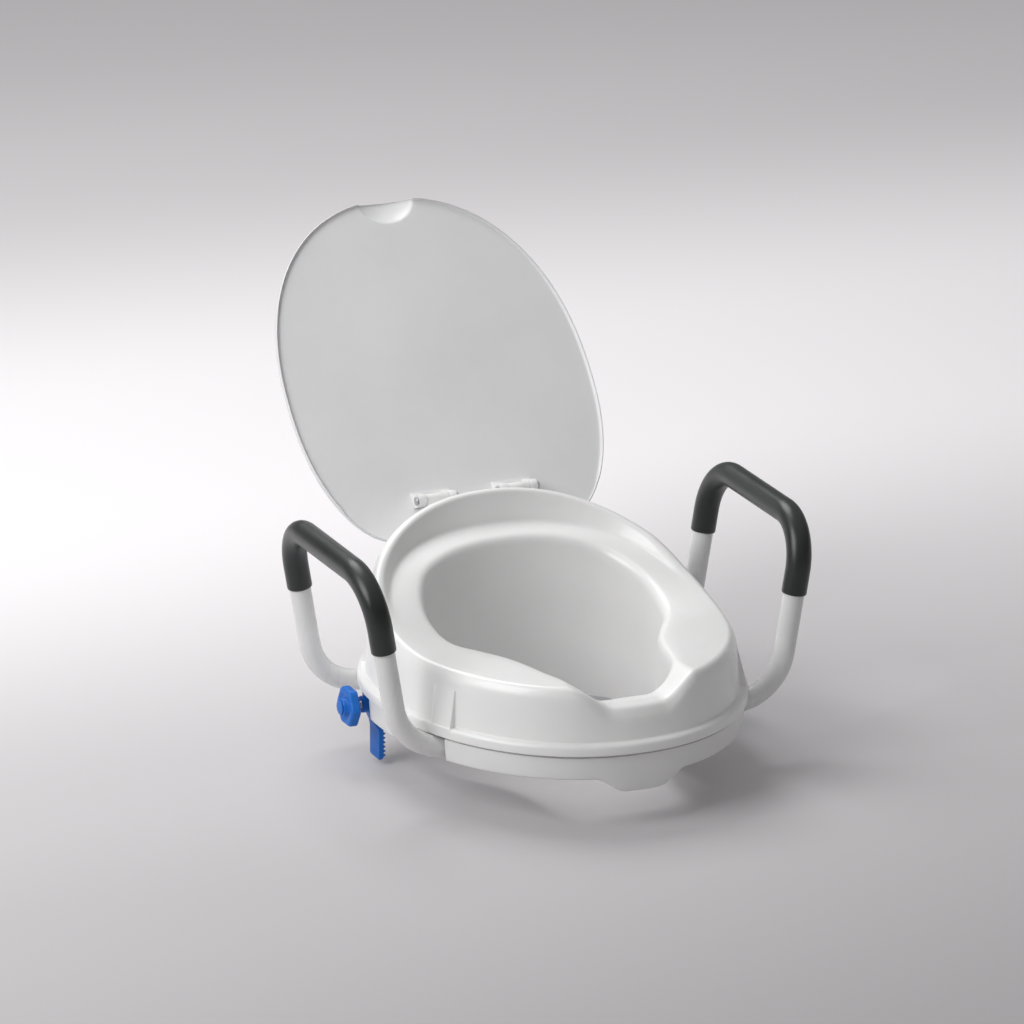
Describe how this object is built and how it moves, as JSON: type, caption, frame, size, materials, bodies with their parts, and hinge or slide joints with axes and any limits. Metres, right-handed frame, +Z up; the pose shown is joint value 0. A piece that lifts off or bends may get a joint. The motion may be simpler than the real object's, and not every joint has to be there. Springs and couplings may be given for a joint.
{
  "type": "raised toilet seat",
  "caption": "Raised toilet seat with a high back, front recess and hinged lid, slide-in tubular armrests with foam grips, and screw clamps that grip the sides of the bowl.",
  "frame": {"origin": "centre of the plane that rests on the rim of the toilet bowl", "axes": "+Z up, the sitter faces -Y, the lid is at +Y, +X is to the right when looking along +Y"},
  "size_m": [0.4964, 0.6681, 0.4618],
  "materials": {
    "white_plastic": "smooth glossy white moulded plastic",
    "lid_plastic": "smooth satin white moulded plastic",
    "tray_plastic": "white moulded plastic, satin",
    "white_enamel": "white powder coat on steel tube",
    "dark_foam": "dark grey smooth foam sleeve",
    "blue_plastic": "bright blue moulded plastic",
    "grey_rubber": "grey rubber",
    "steel": "zinc-plated steel"
  },
  "bodies": {
    "seat": {"seat_shell": "white_plastic", "base_tray": "tray_plastic", "rim_pad_front_left": "grey_rubber", "rim_pad_front_right": "grey_rubber", "rim_pad_rear_left": "grey_rubber", "rim_pad_rear_right": "grey_rubber", "hinge_bracket_left": "white_plastic", "hinge_pin_left": "steel", "bracket_screw_inner_left": "steel", "bracket_screw_outer_left": "steel", "arm_socket_front_left": "tray_plastic", "socket_screw_a_front_left": "steel", "socket_screw_b_front_left": "steel", "arm_socket_rear_left": "tray_plastic", "socket_screw_a_rear_left": "steel", "socket_screw_b_rear_left": "steel", "clamp_bearing_left": "tray_plastic", "hinge_bracket_right": "white_plastic", "hinge_pin_right": "steel", "bracket_screw_inner_right": "steel", "bracket_screw_outer_right": "steel", "arm_socket_front_right": "tray_plastic", "socket_screw_a_front_right": "steel", "socket_screw_b_front_right": "steel", "arm_socket_rear_right": "tray_plastic", "socket_screw_a_rear_right": "steel", "socket_screw_b_rear_right": "steel", "clamp_bearing_right": "tray_plastic"},
    "lid_body": {"lid": "lid_plastic", "lid_hinge_left": "white_plastic", "lid_hinge_right": "white_plastic"},
    "arm_left": {"arm_tube_left": "white_enamel", "arm_grip_left": "dark_foam", "tube_plug_front_left": "dark_foam", "tube_plug_rear_left": "dark_foam"},
    "screw_left": {"clamp_rod_left": "steel", "clamp_knob_left": "blue_plastic", "knob_cap_left": "blue_plastic", "rod_clip_left": "steel"},
    "jaw_left": {"clamp_jaw_left": "blue_plastic"},
    "arm_right": {"arm_tube_right": "white_enamel", "arm_grip_right": "dark_foam", "tube_plug_front_right": "dark_foam", "tube_plug_rear_right": "dark_foam"},
    "screw_right": {"clamp_rod_right": "steel", "clamp_knob_right": "blue_plastic", "knob_cap_right": "blue_plastic", "rod_clip_right": "steel"},
    "jaw_right": {"clamp_jaw_right": "blue_plastic"}
  },
  "joints": [
    {"name": "lid_hinge", "type": "hinge", "parent": "seat", "child": "lid_body", "pos_m": [0, 0.1917, 0.1693], "axis": [1, 0, 0], "range_deg": [0, 145]},
    {"name": "arm_left_slide", "type": "slide", "parent": "seat", "child": "arm_left", "axis": [-1, 0, 0], "range_m": [0, 0.04]},
    {"name": "knob_left_turn", "type": "hinge", "parent": "seat", "child": "screw_left", "pos_m": [-0.2, 0.052, 0.0125], "axis": [1, 0, 0], "range_deg": [-360, 900]},
    {"name": "jaw_left_slide", "type": "slide", "parent": "seat", "child": "jaw_left", "axis": [1, 0, 0], "range_m": [-0.004, 0.01]},
    {"name": "arm_right_slide", "type": "slide", "parent": "seat", "child": "arm_right", "axis": [1, 0, 0], "range_m": [0, 0.04]},
    {"name": "knob_right_turn", "type": "hinge", "parent": "seat", "child": "screw_right", "pos_m": [0.2, 0.052, 0.0125], "axis": [-1, 0, 0], "range_deg": [-360, 900]},
    {"name": "jaw_right_slide", "type": "slide", "parent": "seat", "child": "jaw_right", "axis": [-1, 0, 0], "range_m": [-0.004, 0.01]}
  ],
  "couplings": [
    {"joint": "jaw_left_slide", "follows": "knob_left_turn", "m_per_rad": 0.00063662},
    {"joint": "jaw_right_slide", "follows": "knob_right_turn", "m_per_rad": 0.00063662}
  ]
}
